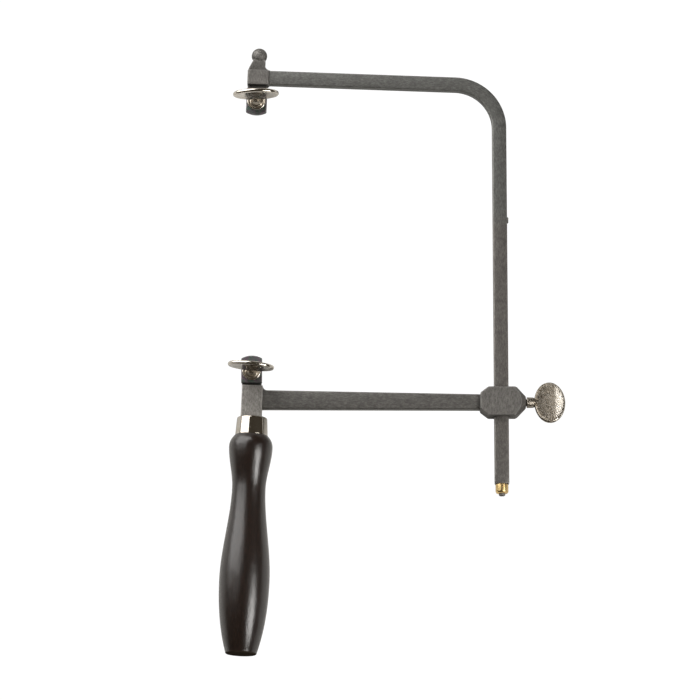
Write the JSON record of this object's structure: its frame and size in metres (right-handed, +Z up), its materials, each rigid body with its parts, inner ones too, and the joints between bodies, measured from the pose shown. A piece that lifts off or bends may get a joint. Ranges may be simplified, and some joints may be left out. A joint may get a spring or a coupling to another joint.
{
  "type": "adjustable saw frame",
  "caption": "Adjustable hand saw frame: bent bar sliding in a clamp block, plate jaws under wing screws, turned handle. No blade fitted.",
  "frame": {"origin": "centre of the bounding box, on the surface the saw lies on", "axes": "+Y from the handle to the upper jaw, +X from the jaws to the upright bar, +Z up, the way the wing screws point"},
  "size_m": [0.1634, 0.2948, 0.033],
  "materials": {
    "bar_steel": "satin, dark rolled steel",
    "jaw_steel": "fine ground steel",
    "plate_steel": "blackened steel",
    "nickel": "polished nickel",
    "brass": "polished brass",
    "handle_wood": "dark brown gloss lacquer on turned wood"
  },
  "bodies": {
    "lower_frame": {"lower_post": "jaw_steel", "lower_arm": "bar_steel", "clamp_block": "jaw_steel", "lower_guide_pin": "jaw_steel", "ferrule": "nickel", "handle": "handle_wood"},
    "upper_frame": {"frame_bar": "bar_steel", "upper_jaw_head": "jaw_steel", "travel_nib": "bar_steel", "stop_bush": "brass", "stop_stud": "bar_steel", "upper_guide_pin": "jaw_steel"},
    "upper_plate": {"upper_clamp_plate": "plate_steel"},
    "upper_screw": {"upper_wing_screw": "nickel"},
    "lower_plate": {"lower_clamp_plate": "plate_steel"},
    "lower_screw": {"lower_wing_screw": "nickel"},
    "shoe": {"pressure_shoe": "brass"},
    "side_screw": {"side_thumb_screw": "nickel"}
  },
  "joints": [
    {"name": "frame_slide", "type": "slide", "parent": "lower_frame", "child": "upper_frame", "axis": [-0.0008, 0.9997, -0.0232], "range_m": [-0.0804, 0.0323]},
    {"name": "upper_plate_lift", "type": "slide", "parent": "upper_frame", "child": "upper_plate", "axis": [0.0356, 0.0232, 0.9991], "range_m": [0, 0.00158]},
    {"name": "upper_screw_turn", "type": "hinge", "parent": "upper_plate", "child": "upper_screw", "pos_m": [-0.06516, 0.12023, 0.00958], "axis": [0.0356, 0.0232, 0.9991], "range_deg": [0, 810]},
    {"name": "lower_plate_lift", "type": "slide", "parent": "lower_frame", "child": "lower_plate", "axis": [0.0356, 0.0232, 0.9991], "range_m": [0, 0.00158]},
    {"name": "lower_screw_turn", "type": "hinge", "parent": "lower_plate", "child": "lower_screw", "pos_m": [-0.06672, -0.01258, 0.01272], "axis": [0.0356, 0.0232, 0.9991], "range_deg": [0, 810]},
    {"name": "shoe_back", "type": "slide", "parent": "lower_frame", "child": "shoe", "axis": [0.9994, 0, -0.0356], "range_m": [0, 0.0014]},
    {"name": "side_screw_turn", "type": "hinge", "parent": "shoe", "child": "side_screw", "pos_m": [0.06299, -0.02705, 0.00519], "axis": [0.9994, 0, -0.0356], "range_deg": [0, 720]}
  ],
  "couplings": [
    {"joint": "upper_plate_lift", "follows": "upper_screw_turn", "m_per_rad": 0.00011141},
    {"joint": "lower_plate_lift", "follows": "lower_screw_turn", "m_per_rad": 0.00011141},
    {"joint": "shoe_back", "follows": "side_screw_turn", "m_per_rad": 0.00011141}
  ]
}
